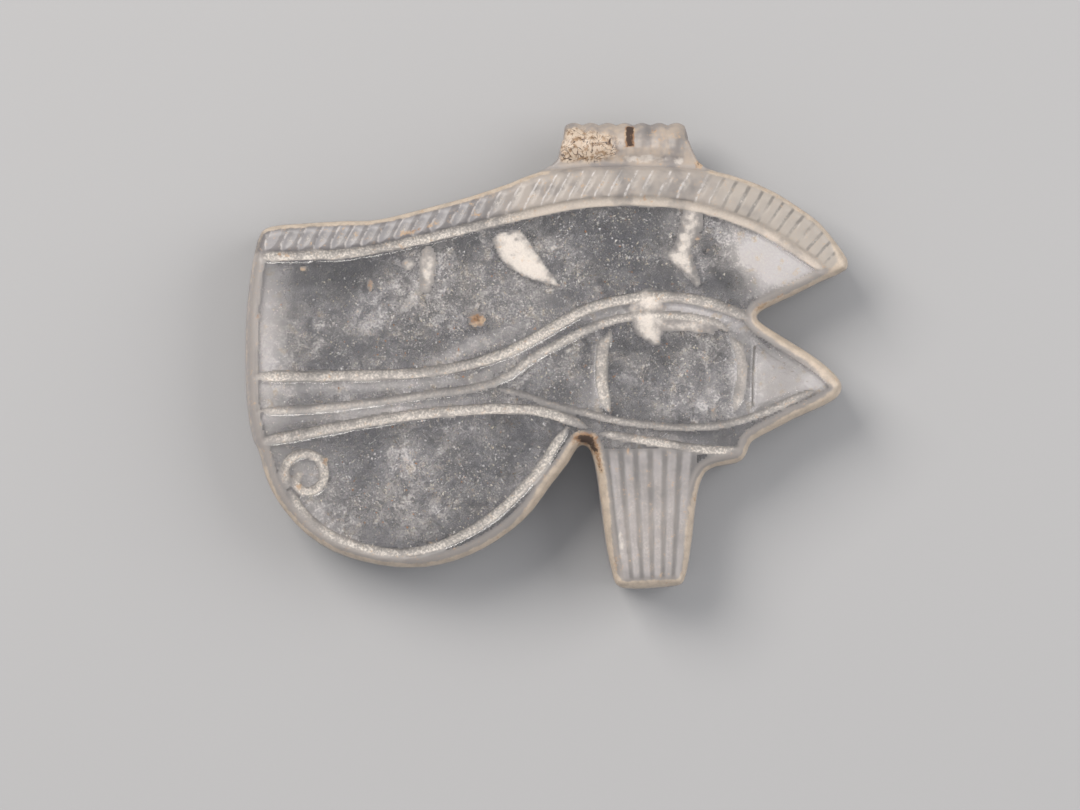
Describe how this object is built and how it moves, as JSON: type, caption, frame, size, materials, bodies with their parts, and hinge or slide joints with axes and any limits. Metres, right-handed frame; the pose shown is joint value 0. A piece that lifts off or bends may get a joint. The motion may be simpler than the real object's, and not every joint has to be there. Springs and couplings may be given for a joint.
{
  "type": "eye amulet",
  "caption": "Flat pendant carved from clear rock crystal as a stylised eye and brow, with a curled lobe, a fluted drop and a ribbed tube on top, bored for a cord.",
  "frame": {"origin": "under the middle of the outline, in the plane of the flat back that it lies on", "axes": "+Z out of the carved front, +Y towards the brow and the cord tube, +X towards the inner corner of the eye, so that the front reads as in the picture"},
  "size_m": [0.045, 0.0348, 0.0074],
  "materials": {
    "rock_crystal": "clear polished quartz, greyish, with matt ground cuts and edges"
  },
  "bodies": {
    "root": {"wedjat_amulet": "rock_crystal"}
  },
  "joints": []
}
